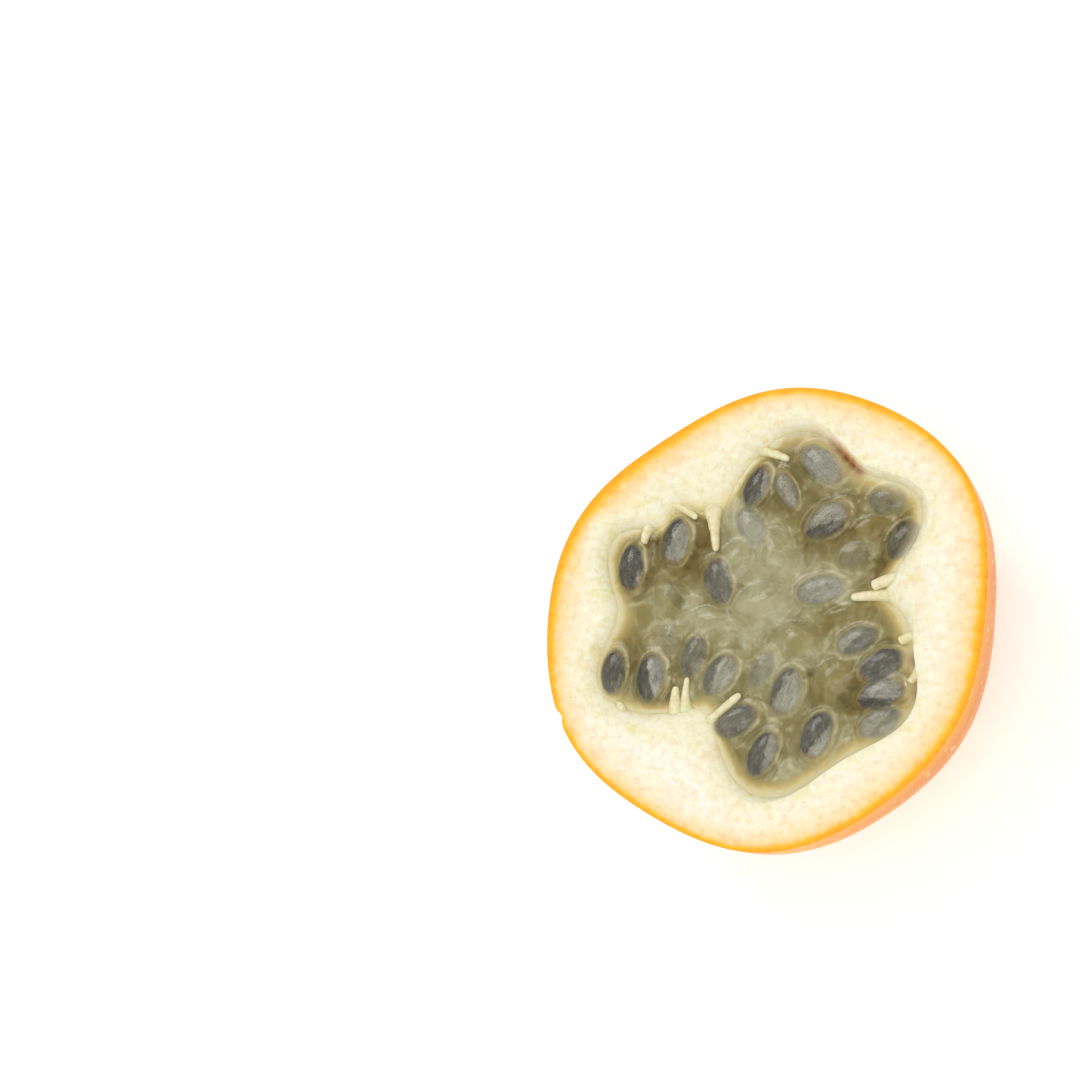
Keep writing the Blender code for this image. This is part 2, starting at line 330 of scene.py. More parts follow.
# The rind: orange skin outside, spongy white lining at the cut and in the hollow.
rind = {
    "segments": 360,
    "skinRings": 44,
    "edgeRound": 0.25,  # mm, the cut edge of the skin
    "cutRings": 26,
    "wallDepths": (  # mm, of the rings on the hollow's wall
        0.08, 0.18, 0.3, 0.45, 0.6, 0.8, 1.0, 1.25, 1.5, 1.8, 2.1, 2.5, 2.9, 3.4, 4.0, 4.8, 6.0,
        8.0, 10.5, 13.5, 17.0, 20.5, 23.5, 25.5, 26.3,
    ),
    "swell": 0.12,  # mm, how uneven the cut is
    "swellRate": 0.35,  # waves of it to a mm
    "dimple": 0.06,  # mm, how uneven the skin is
    "dimpleRate": 0.22,
    "skinFrom": 29,  # mm from the axis, beyond which the skin is dimpled
    "notch": (204.3, 0.5, 1.5),  # a nick in the rim: angle, depth in mm, half width in degrees
    "notchFall": 1.5,  # mm, how far down the skin it runs out
    "wash": 4.3,  # mm, how far the orange runs in from the skin
    # where it runs further in: angle, by how much in mm, half width in degrees
    "washes": ((138, 8.2, 34), (178, 3.0, 22), (0, 3.0, 26), (70, 2.4, 35), (-45, 3.0, 30)),
    "wallFade": 0.35,  # mm that each mm below the cut counts as further from the skin
    "sunkFrom": 1.0,  # mm below the cut, where the jelly starts to tint the wall
    "strokeRadius": 33,  # mm, where the brush strokes of the wash have their true width
    "strokeDraw": 0.25,  # how much they are drawn out along the radius
}


def makeRindMesh():
    angles = ringAngles(rind["segments"])
    nickAngle, nickDepth, nickWidth = rind["notch"]
    nick = nickDepth * np.exp(-(((angles - nickAngle) / nickWidth) ** 2))
    rings = []
    last = math.asin(fruit["cutHeight"] / fruit["poleDepth"])
    for n in range(rind["skinRings"]):
        depth = fruit["poleDepth"] * math.sin(last * (1 - n / rind["skinRings"]))
        nicked = nick * math.exp(-depth / rind["notchFall"])
        rings.append((skinRadius(angles, depth) - nicked, depth, 0))
    rim = skinRadius(angles, 0) - nick
    edge = rind["edgeRound"]
    for turn in (0, 30, 60, 90):
        inward = edge * (1 - math.cos(math.radians(turn)))
        depth = edge * (1 - math.sin(math.radians(turn)))
        rings.append((rim - inward, depth, 0 if turn < 60 else 1))
    mouth = hollowRadius(angles, 0)
    for n in range(1, rind["cutRings"] + 1):
        share = n / rind["cutRings"]
        rings.append(((rim - edge) * (1 - share) + mouth * share, 0, 1))
    for depth in rind["wallDepths"]:
        rings.append((hollowRadius(angles, depth), depth, 1))
    return toObject("rind", ringBody(angles, rings))


# Distances in millimetres that the lining's colours follow, and a place stretched along the radius.
def paintRind(mesh):
    place = points(mesh)
    angle, radius = polar(place)
    depth = fruit["cutHeight"] - place[:, 2]
    fromSkin = skinRadius(angle, 0) - radius + rind["wallFade"] * np.clip(depth, 0, 6)
    paint(mesh, "fromSkin", fromSkin)
    paint(mesh, "fromHollow", radius - hollowRadius(angle, 0))
    paint(mesh, "sunk", np.clip(depth - rind["sunkFrom"], 0, None))
    paint(mesh, "wash", rind["wash"] + bumpSum(angle, rind["washes"]))
    turn, span = np.radians(angle), rind["strokeRadius"]
    rays = [np.cos(turn) * span, np.sin(turn) * span, fromSkin * rind["strokeDraw"]]
    paint(mesh, "rays", np.stack(rays, 1))
    paintGapShade(mesh)


def roughenRind(mesh):
    place = points(mesh)
    normals = np.empty(len(place) * 3, np.float32)
    mesh.vertices.foreach_get("normal", normals)
    normals = normals.reshape(-1, 3).astype(float)
    top = fruit["cutHeight"]
    for n, spot in enumerate(place):
        if spot[2] > top - 0.01:  # on the cut
            wave = noise.fractal(Vector(spot) * rind["swellRate"], 0.8, 2.0, 3)
            place[n, 2] -= rind["swell"] * (0.5 + wave)
        elif math.hypot(spot[0], spot[1]) > rind["skinFrom"] and spot[2] < top - 0.2:  # on the skin
            wave = noise.noise(Vector(spot) * rind["dimpleRate"])
            place[n] -= normals[n] * rind["dimple"] * (1 + wave)
    place[:, 2] = np.minimum(place[:, 2], top)
    setPoints(mesh, place)


# The waxy skin of the fruit: a thin gloss over orange, with the pale pores of its kind.
def waxySkin():
    finish, tree = newMaterial("waxySkin")
    where = addNode(tree, "TexCoord").outputs["Object"]
    broad = addNode(tree, "TexNoise", {"Vector": where, "Scale": 1000 / 22, "Detail": 3.0})
    base = addNode(tree, "ValToRGB", [broad], [
        (0.30, "#de7a04"), (0.45, "#e68a08"), (0.60, "#ee9c10"), (0.75, "#f2ac1e"),
    ])
    # more golden where the cut lets light into it
    height = addNode(tree, "SeparateXYZ", {"Vector": where})
    rim = addNode(tree, "MapRange", [height.outputs["Z"], 0.0295, 0.0338, 0.0, 0.75])
    golden = addNode(tree, "Mix", [rim, base, "#fbae1c"], data_type="RGBA")
    # pores up to 0.7 mm across, 1.4 mm apart
    ragged = addNode(tree, "TexNoise", {"Vector": where, "Scale": 1000 / 0.7, "Detail": 2.0})
    shifted = addNode(tree, "VectorMath", [
        ragged.outputs["Color"], (0.0004, 0.0004, 0.0004), where,
    ], operation="MULTIPLY_ADD")
    cells = addNode(tree, "TexVoronoi", {"Vector": shifted, "Scale": 1000 / 1.4, "Randomness": 1.0})
    size = addNode(tree, "SeparateColor", {"Color": cells.outputs["Color"]})
    reach = addNode(tree, "MapRange", [size.outputs["Red"], 0.1, 1.0, 0.06, 0.24])
    inside = addNode(tree, "Math", [reach, cells], operation="SUBTRACT")
    speck = addNode(tree, "MapRange", [inside, -0.06, 0.08, 0.0, 0.85])
    colour = addNode(tree, "Mix", [speck, golden, "#ffdc9c"], data_type="RGBA")
    fine = addNode(tree, "TexNoise", {"Vector": where, "Scale": 1000 / 0.9, "Detail": 3.0})
    rough = addNode(tree, "MapRange", [fine, 0.3, 0.7, 0.30, 0.42])
    relief = addNode(tree, "Bump", {"Height": fine, "Strength": 0.25, "Distance": 0.0001})
    surface = addNode(tree, "BsdfPrincipled", {
        "Base Color": colour, "Roughness": rough, "Normal": relief,
        "IOR": 1.4, "Specular IOR Level": 0.3,
        "Sheen Weight": 0.08, "Sheen Roughness": 0.35, "Sheen Tint": "#ffe9d2",
    })
    addNode(tree, "OutputMaterial", {"Surface": surface})
    return finish


# The spongy lining: dry white tissue with short fibres, yellow-orange where it meets the skin, smooth
# and a little green round the hollow, and seen through ever more jelly further down.
def spongyLining():
    finish, tree = newMaterial("spongyLining")
    where = addNode(tree, "TexCoord").outputs["Object"]
    fromSkin, fromHollow, sunk, wash, gapShade = [
        addNode(tree, "Attribute", attribute_name=name).outputs["Fac"]
        for name in ("fromSkin", "fromHollow", "sunk", "wash", "gapShade")
    ]
    rays = addNode(tree, "Attribute", attribute_name="rays").outputs["Vector"]
    # brush strokes 1.6 mm wide fray the wash, and layers run from the skin inwards
    brush = addNode(tree, "TexNoise", {"Vector": rays, "Scale": 1 / 1.6, "Detail": 3.0, "Roughness": 0.55})
    fray = addNode(tree, "Math", [brush, -0.5], operation="ADD")
    shift = addNode(tree, "MapRange", [fromSkin, 0.4, 2.5, 0.4, 2.0])
    moved = addNode(tree, "Math", [fray, shift, fromSkin], operation="MULTIPLY_ADD")
    broad = addNode(tree, "TexNoise", {"Vector": where, "Scale": 1000 / 12, "Detail": 2.0})
    depths = addNode(tree, "Math", [broad, 5.0, wash], operation="MULTIPLY_ADD")
    across = addNode(tree, "Math", [moved, depths], operation="DIVIDE")
    layers = addNode(tree, "ValToRGB", [across], [
        (0.0, "#f59c14"), (0.025, "#fcae14"), (0.065, "#ffbc1c"), (0.10, "#ffca48"), (0.16, "#fedda0"),
        (0.30, "#fcebc8"), (0.52, "#fcf5e2"), (1.0, "#fcf8ee"),
    ])
    near = addNode(tree, "MapRange", [fromHollow, 2.8, 0.2, 0.0, 1.0])
    inner = addNode(tree, "Mix", [near, layers, "#f5f2da"], data_type="RGBA")
    # fibres 0.5 mm wide and their gaps, then faint pink and yellow blotches 3 mm wide
    fibre = addNode(tree, "TexNoise", {
        "Vector": where, "Scale": 1000 / 1.1, "Detail": 5.0, "Roughness": 0.7,
    })
    shade = addNode(tree, "ValToRGB", [fibre], [(0.30, "#eadfc9"), (0.46, "#f9f3e6"), (0.64, "#ffffff")])
    mottled = addNode(tree, "Mix", [0.75, inner, shade], data_type="RGBA", blend_type="MULTIPLY")
    blotch = addNode(tree, "TexNoise", {
        "Vector": where, "Scale": 1000 / 3.0, "Detail": 4.0, "Roughness": 0.6, "Distortion": 0.6,
    })
    hues = addNode(tree, "ValToRGB", [blotch], [
        (0.36, "#fdefdc"), (0.46, "#ffffff"), (0.58, "#fffdf2"), (0.68, "#f9f3cf"),
    ])
    tinted = addNode(tree, "Mix", [0.6, mottled, hues], data_type="RGBA", blend_type="MULTIPLY")
    # green veins near the hollow, then the wall seen through jelly, and brown painted shade at the lip
    # where jelly meets wall
    veins = addNode(tree, "TexNoise", {
        "Vector": where, "Scale": 1000 / 3.5, "Detail": 3.0, "Distortion": 1.2,
    })
    vein = addNode(tree, "MapRange", [veins, 0.60, 0.72, 0.0, 0.6])
    here = addNode(tree, "Math", [vein, near], operation="MULTIPLY")
    veined = addNode(tree, "Mix", [here, tinted, "#e3dd86"], data_type="RGBA")
    depth = addNode(tree, "Math", [sunk, 8.0], operation="DIVIDE")
    seenThrough = addNode(tree, "ValToRGB", [depth], [
        (0.0, "#ffffff"), (0.12, "#fcf6d8"), (0.30, "#f3e6aa"), (1.0, "#c2b066"),
    ])
    wet = addNode(tree, "Mix", [1.0, veined, seenThrough], data_type="RGBA", blend_type="MULTIPLY")
    lip = addNode(tree, "MapRange", [fromHollow, 0.25, -0.05, 0.0, 1.0])
    gapShadeHere = addNode(tree, "Math", [lip, gapShade], operation="MULTIPLY")
    gapShaded = addNode(tree, "Mix", [gapShadeHere, wet, "#b4690c"], data_type="RGBA")
    relief = addNode(tree, "Bump", {"Height": fibre, "Strength": 0.5, "Distance": 0.00025})
    surface = addNode(tree, "BsdfPrincipled", {
        "Base Color": gapShaded, "Roughness": 0.62, "Normal": relief,
        "IOR": 1.4, "Subsurface Weight": 0.3, "Subsurface Scale": 0.002,
        "Subsurface Radius": (1.0, 0.85, 0.6),
    })
    addNode(tree, "OutputMaterial", {"Surface": surface})
    return finish


def makeRind():
    thing = makeRindMesh()
    paintRind(thing.data)
    roughenRind(thing.data)
    finishPiece(thing, "shell", "rind", waxySkin(), spongyLining())
    print("rind", len(thing.data.polygons))


# The cut seed stalks on the ridges.
stalks = {
    # x, y of the tip, heading to its ridge, thickness at the tip and at the root, depth of the tip's top
    "places": (
        (-19.4, 11.5, 77, 1.1, 4.0, 0.7), (-8.1, 9.9, 101, 1.1, 4.6, 0.6),
        (-11.3, 15.0, 150, 1.0, 1.5, 0.8), (2.5, 23.0, 160, 1.1, 2.2, 0.7),
        (15.4, 3.8, 18, 1.6, 1.8, 0.4), (12.3, 2.4, 3, 1.3, 2.6, 0.8),
        (19.5, -4.2, 25, 1.3, 2.4, 0.6), (21.2, -10.1, 60, 1.2, 2.2, 0.7),
        (-22.2, -11.7, 285, 1.0, 2.6, 0.8), (-13.4, -9.7, 268, 1.1, 3.6, 0.6),
        (-11.8, -8.4, 266, 0.8, 3.2, 0.9), (-3.5, -11.1, 217, 1.1, 1.6, 0.4),
    ),
    "root": 1.2,  # mm, how far a stalk runs on inside its ridge
    "stride": 0.2,  # mm between the places tried for its end
    "fall": 0.12,  # how much deeper its upper side lies for each mm towards its root
    "flare": 2.0,  # how late it widens to its root
    "bend": 0.2,  # mm, how far its middle lies aside
    "uneven": 0.18,  # share by which its thickness varies
    "unevenRate": 0.9,  # waves of that to a mm
    "blunt": (12, 4),  # how blunt its tip is, and its root, which fades into the wall
    "bedded": 0.1,  # mm, how far the jelly stays below its middle line
    "bedSlope": 1.6,  # how steeply the jelly rises beside it
    "bedReach": 1.6,  # mm, how far out
    "pressed": 1.0,  # mm, the most that the jelly gives way
}


# From the tip to a little beyond the wall of the hollow.
def stalkLength(x, y, heading, depth):
    turn, stride = math.radians(heading), stalks["stride"]
    step = np.array((math.cos(turn), math.sin(turn))) * stride
    end = np.array((x, y), float)
    while np.hypot(*end) < hollowRadius(np.degrees(np.arctan2(end[1], end[0])), depth):
        end += step
        depth += stride * stalks["fall"]
    return float(np.hypot(*(end - (x, y)))) + stalks["root"]


# Thickness and middle line of a stalk at a share of the way from tip to root.
def stalkShape(along, length, tip, root):
    thick = tip + (root - tip) * along ** stalks["flare"]
    return thick, -(thick - tip) / 2 - stalks["fall"] * length * along


def makeStalks():
    bm = bmesh.new()
    for x, y, heading, tip, root, top in stalks["places"]:
        length = stalkLength(x, y, heading, top)
        one = bmesh.new()
        bmesh.ops.create_uvsphere(one, u_segments=20, v_segments=41, radius=1)
        spin(one, 90, "Y")
        bend = stalks["bend"] * math.sin(x * 3.1 + y)  # another for each stalk
        for vertex in one.verts:
            along = (vertex.co.x + 1) / 2  # 0 at the tip, 1 at the root
            around = math.hypot(vertex.co.y, vertex.co.z)
            thick, middle = stalkShape(along, length, tip, root)
            wave = noise.noise(Vector((along * length * stalks["unevenRate"], x, y)))
            thick *= 1 + stalks["uneven"] * wave
            blunt = stalks["blunt"][0 if along < 0.5 else 1]
            swell = (1 - abs(vertex.co.x) ** blunt) ** 0.5 / around if around > 1e-6 else 0
            vertex.co = (
                along * length,
                vertex.co.y * swell * thick / 2 + bend * math.sin(along * math.pi),
                vertex.co.z * swell * thick / 2 + middle,
            )
        spin(one, heading, "Z")
        bmesh.ops.translate(one, verts=one.verts, vec=(x, y, fruit["cutHeight"] - top - tip / 2))
        pourInto(bm, one)
    thing = toObject("seedStalks", bm)
    finish, tree = newMaterial("creamStalk")  # soft damp tissue, pale and slightly see-through
    where = addNode(tree, "TexCoord").outputs["Object"]
    strands = addNode(tree, "TexNoise", {"Vector": where, "Scale": 1000 / 0.8, "Detail": 3.0})
    colour = addNode(tree, "ValToRGB", [strands], [(0.35, "#ded2a0"), (0.65, "#eee5c2")])
    relief = addNode(tree, "Bump", {"Height": strands, "Strength": 0.3, "Distance": 0.0001})
    surface = addNode(tree, "BsdfPrincipled", {
        "Base Color": colour, "Roughness": 0.4, "Normal": relief,
        "IOR": 1.4, "Subsurface Weight": 0.4, "Subsurface Scale": 0.0015,
    })
    addNode(tree, "OutputMaterial", {"Surface": surface})
    finishPiece(thing, "shell", "rind", finish)
    print("stalks", len(thing.data.polygons))


# The pulp: clear sacs, each round a seed, over a murky bed.
pulp = {
    # seeds near the surface: x, y, heading of the blunt end, length, width, jelly over it,
    # share of the coat on the facet painted pale as lit by the light, and how milky its sac is
    "seeds": (
        (-21.1, 8.0, 268, 6.8, 3.6, 0.2, 0.15, 0.2), (-14.3, 11.6, 262, 6.7, 4.1, 0.3, 0.62, 0.1),
        (-7.6, 5.6, 104, 6.9, 3.9, 0.5, 0.20, 0.3), (-2.2, 19.2, 65, 6.4, 3.2, 0.2, 0.25, 0.2),
        (7.4, 22.0, 323, 7.2, 4.3, 0.4, 0.90, 0.4), (17.0, 16.6, 6, 6.0, 3.9, 1.3, 0.10, 0.4),
        (8.4, 13.8, 33, 6.9, 4.2, 0.4, 0.62, 0.2), (19.7, 10.4, 52, 6.0, 4.3, 1.0, 0.0, 0.0),
        (12.4, 8.9, 18, 5.6, 3.4, 1.5, 0.45, 0.5), (7.7, 3.7, 189, 7.4, 3.8, 0.5, 0.95, 0.6),
        (13.1, -3.8, 202, 6.3, 3.2, 0.6, 0.50, 0.5), (16.9, -7.5, 206, 6.9, 4.1, 0.3, 0.20, 0.2),
        (17.2, -11.5, 17, 7.1, 3.7, 0.1, 0.65, 0.1), (16.9, -15.6, 204, 6.6, 3.9, 0.7, 0.50, 0.3),
        (7.9, -17.3, 250, 7.0, 4.1, 0.2, 0.40, 0.4), (3.2, -10.8, 251, 6.8, 4.3, 0.5, 0.60, 0.5),
        (0.0, -19.7, 65, 6.8, 3.6, 0.3, 0.35, 0.4), (-4.3, -14.8, 27, 6.6, 3.9, 0.6, 0.15, 0.4),
        (-17.3, -8.3, 86, 6.8, 4.1, 0.1, 0.48, 0.3), (-23.2, -7.4, 84, 6.6, 3.5, 0.3, 0.05, 0.2),
        (-11.2, -5.2, 71, 6.2, 3.3, 0.9, 0.0, 0.4), (-6.8, -8.1, 51, 6.4, 4.0, 0.6, 0.60, 0.5),
        (-15.2, -2.6, 77, 5.4, 2.9, 1.6, 0.0, 0.6), (-0.8, -7.5, 60, 5.6, 2.9, 1.3, 0.20, 0.7),
        (-3.1, 13.4, 302, 6.4, 3.7, 1.0, 0.80, 0.8), (2.2, 18.6, 117, 6.0, 2.6, 0.6, 0.90, 0.3),
    ),
    "sacLonger": 4.6,  # mm by which a sac is longer than its seed
    "sacWider": 3.4,
    "sacThick": 6.0,
    "sacLevel": 0.4,  # mm below the cut, the top of a sac with no jelly over its seed
    "sacFall": 0.6,  # mm lower for each mm of jelly over the seed
    # sacs whose seed lies out of sight: x, y, heading, length, width, top below the cut, milkiness
    "blankSacs": (
        (-5.4, 8.2, 62, 11.0, 7.0, 0.7, 0.7), (0.6, 8.6, 100, 12.0, 8.0, 0.5, 0.8),
        (-1.0, 1.6, 20, 13.0, 8.5, 0.3, 0.9), (-8.6, -0.4, 170, 11.0, 7.0, 0.8, 0.8),
        (-15.6, 3.2, 95, 10.0, 6.5, 1.3, 0.5), (-20.6, 0.6, 80, 9.0, 6.0, 1.8, 0.5),
        (4.6, -3.6, 150, 11.0, 7.0, 0.6, 0.6), (11.0, 0.2, 12, 12.0, 5.0, 1.2, 0.3),
        (9.8, -9.0, 40, 12.0, 7.5, 0.8, 0.3), (5.0, -23.6, 165, 10.0, 6.0, 1.8, 0.8),
        (12.2, -18.8, 60, 10.0, 6.0, 1.5, 0.6), (13.8, 12.6, 28, 11.0, 5.5, 1.3, 0.2),
        (3.4, 12.6, 95, 9.0, 5.0, 1.6, 0.3), (-20.0, -12.0, 95, 9.0, 5.5, 2.0, 0.5),
    ),
    "middleLevel": 1.5,  # mm below the cut, the jelly between the sacs
    "edgeLevel": 1.8,  # and at the wall
    # how it falls between the two: share of the way out, share of the fall
    "coreShares": ((0.15, 0.0), (0.4, 0.1), (0.65, 0.35), (0.85, 0.7), (1.0, 1.0)),
    "shallow": 0.8,  # mm of jelly over a seed that raises a swelling
    "seedProud": 0.25,  # mm by which it rises
    "swellWider": 0.8,  # mm by which it is wider than the seed
    "segments": 120,
    "roomDepths": (-1.0, 0.0, 0.4, 0.8, 1.2, 1.7, 2.3, 3.0, 4.0),  # mm, of the rings that shape its side
    "roomFoot": (5.5, 26.4),  # and the first and last of 12 more
    "intoWall": 0.25,  # mm that it runs into the wall
    "jellyFoot": 8.5,  # mm, depth to which the clear jelly goes, inside the bed
    "jellyVoxel": 0.28,
    "jellySoften": 3,
    "bedLower": 3.0,  # mm, how far the bed lies below the jelly
    "bedShrink": 0.92,  # and how much smaller its sacs are
    "bedFoot": 26.0,
    "bedVoxel": 0.6,
    "bedSoften": 2,
    "valleyWidth": 0.6,  # mm, where two sacs meet
    "milkBlend": 0.5,  # mm, over which the milk of one turns to that of the next
    "filmWider": 0.4,  # mm by which the film over a seed is wider than the seed
    "filmCover": (1.6, 1.7),  # mm of jelly: the most that counts, and as much as leaves no film
    "filmEdge": (1.02, 0.22),  # where the film ends and how softly, in the seed's own radii
    "haloRing": (1.12, 0.11),  # where the halo lies and its half width, in the same
    "haloLight": (0.55, 0.45),  # its strength, and how much that changes towards the light
}


# Height of a sac's top: the more jelly lies over its seed, the lower.
def sacTop(cover):
    return fruit["cutHeight"] - pulp["sacLevel"] - cover * pulp["sacFall"]


# Every sac as (middle, heading, half sizes), lowered and shrunk for the bed.
def sacs(lower=0.0, shrink=1.0):
    found = []
    for x, y, heading, length, width, cover, *_ in pulp["seeds"]:
        sizes = (length + pulp["sacLonger"], width + pulp["sacWider"], pulp["sacThick"])
        half = np.array(sizes) / 2 * shrink
        found.append(((x, y, sacTop(cover) - lower - half[2]), heading, half))
    for x, y, heading, length, width, top, _ in pulp["blankSacs"]:
        half = np.array((length, width, pulp["sacThick"])) / 2 * shrink
        found.append(((x, y, fruit["cutHeight"] - top - lower - half[2]), heading, half))
    return found


# The swellings of the jelly over the seeds close under it, in the same words.
def swellings():
    found = []
    for x, y, heading, length, width, cover, *_ in pulp["seeds"]:
        if cover < pulp["shallow"]:
            wider = pulp["swellWider"]
            half = np.array((length + wider, width + wider, seed["thick"])) / 2
            found.append(((x, y, sacTop(cover) + pulp["seedProud"] - half[2]), heading, half))
    return found


# Places in a sac's own frame, in units of its half sizes.
def inSac(place, sac):
    middle, heading, half = sac
    away = place - np.array(middle)
    return np.stack([*headed(away, heading), away[:, 2]], 1) / half


# Height of the jelly's surface over each place.
def jellyTop(place):
    angle, radius = polar(place)
    share = radius / hollowRadius(angle, 0)
    fall = np.interp(share, *zip(*pulp["coreShares"]))
    top = fruit["cutHeight"] - pulp["middleLevel"] - (pulp["edgeLevel"] - pulp["middleLevel"]) * fall
    for sac in sacs() + swellings():
        own = inSac(place, sac)
        room = 1 - own[:, 0] ** 2 - own[:, 1] ** 2
        rise = sac[0][2] + sac[2][2] * np.sqrt(np.clip(room, 0, None))
        top = np.where(room > 0, np.maximum(top, rise), top)
    return top


def addLump(bm, sac):
    middle, heading, half = sac
    one = bmesh.new()
    bmesh.ops.create_uvsphere(one, u_segments=28, v_segments=20, radius=1)
    bmesh.ops.scale(one, verts=one.verts, vec=half)
    spin(one, heading, "Z")
    bmesh.ops.translate(one, verts=one.verts, vec=middle)
    pourInto(bm, one)


# A core with lumps on it, made one skin by voxels, cut to the room in the hollow and softened.
def pulpBody(name, lower, foot, voxel, lumps, soften):
    angles = ringAngles(pulp["segments"])
    mouth = hollowRadius(angles, 0)
    drop = pulp["edgeLevel"] - pulp["middleLevel"]
    rings = [
        (mouth * share, pulp["middleLevel"] + drop * fall + lower, 0)
        for share, fall in pulp["coreShares"]
    ]
    rings.append((mouth, foot, 0))
    bm = ringBody(angles, rings)
    for lump in lumps:
        addLump(bm, lump)
    thing = toObject(name, bm)
    withModifier(thing, "REMESH", mode="VOXEL", voxel_size=voxel)

    first, last = pulp["roomFoot"]
    depths = [*pulp["roomDepths"], *np.linspace(first, min(foot + 2, last), 12)]
    walls = [(hollowRadius(angles, depth, pulp["intoWall"]), depth, 0) for depth in depths]
    room = toObject("room", ringBody(angles, walls))
    withModifier(thing, "BOOLEAN", operation="INTERSECT", solver="MANIFOLD", object=room)
    bpy.data.objects.remove(room)

    bm = bmesh.new()
    bm.from_mesh(thing.data)
    bmesh.ops.remove_doubles(bm, verts=bm.verts, dist=0.02)
    axes = {"use_axis_x": True, "use_axis_y": True, "use_axis_z": True}
    for _ in range(soften):
        bmesh.ops.smooth_vert(bm, verts=bm.verts, factor=0.5, **axes)
    bm.to_mesh(thing.data)
    bm.free()
    return thing


# The same places, each shifted a little by a smooth noise, so that borders drawn there wander.
def wander(place, size, reach):
    return place + np.array([noise.noise_vector(Vector(spot) / size) for spot in place]) * reach


# valley is near 1 where two sacs meet, milky how cloudy the sacs here are, fromWall a distance in mm.
def paintSacs(mesh):
    place = points(mesh)
    shifted = wander(place, size=2.2, reach=0.8)
    outside = np.stack([(np.linalg.norm(inSac(shifted, s), axis=1) - 1) * s[2][1] for s in sacs()])
    nearest, second = np.sort(outside, axis=0)[:2]
    paint(mesh, "valley", np.exp(-(((second - nearest) / pulp["valleyWidth"]) ** 2)))
    milk = np.array([sac[-1] for sac in pulp["seeds"] + pulp["blankSacs"]])
    weight = np.exp(-(outside - nearest) / pulp["milkBlend"])
    paint(mesh, "milky", (weight * milk[:, None]).sum(0) / weight.sum(0))
    angle, radius = polar(place)
    paint(mesh, "fromWall", hollowRadius(angle, fruit["cutHeight"] - place[:, 2]) - radius)
    paintGapShade(mesh)


# Lowers the jelly round each stalk, so that the stalk lies bedded in it and not under it.
def bedStalks(mesh):
    place = points(mesh)
    for x, y, heading, tip, root, top in stalks["places"]:
        length = stalkLength(x, y, heading, top)
        along, aside = headed(place[:, :2] - (x, y), heading)
        thick, middle = stalkShape(np.clip(along / length, 0, 1), length, tip, root)
        beside = np.hypot(aside, np.minimum(along, 0)) - thick / 2
        floor = fruit["cutHeight"] - top - tip / 2 + middle - stalks["bedded"]
        floor = floor + np.clip(beside, 0, None) * stalks["bedSlope"]
        floor = np.maximum(floor, place[:, 2] - stalks["pressed"])
        near = (beside < stalks["bedReach"]) & (along < length + 1) & (place[:, 2] > floor)
        place[:, 2] = np.where(near, floor, place[:, 2])
    setPoints(mesh, place)


# film is 1 right over a seed at the surface, where the jelly is only a clear film; halo is the pale
# edge of the sac round that seed, painted brighter on its side towards the light.
def paintFilm(mesh):
    place = wander(points(mesh), size=1.6, reach=0.25)
    film = np.zeros(len(place))
    halo = np.zeros(len(place))
    light = math.radians(seed["litSide"])
    wider, (most, none) = pulp["filmWider"], pulp["filmCover"]
    (end, soft), (ringAt, ringHalf) = pulp["filmEdge"], pulp["haloRing"]
    steady, swing = pulp["haloLight"]
    for x, y, heading, length, width, cover, *_ in pulp["seeds"]:
        own = inSac(place, ((x, y, 0), heading, np.array((length + wider, width + wider, 2.0)) / 2))
        flat = np.hypot(own[:, 0], own[:, 1])
        shallow = 1 - min(cover, most) / none
        film = np.maximum(film, np.clip((end - flat) / soft, 0, 1) * shallow)
        away = place[:, :2] - (x, y)
        lit = (away @ (math.cos(light), math.sin(light))) / np.maximum(np.hypot(*away.T), 0.1)
        ring = np.exp(-(((flat - ringAt) / ringHalf) ** 2)) * (steady + swing * lit)
        halo = np.maximum(halo, ring * shallow)
    paint(mesh, "film", film)
    paint(mesh, "halo", halo)


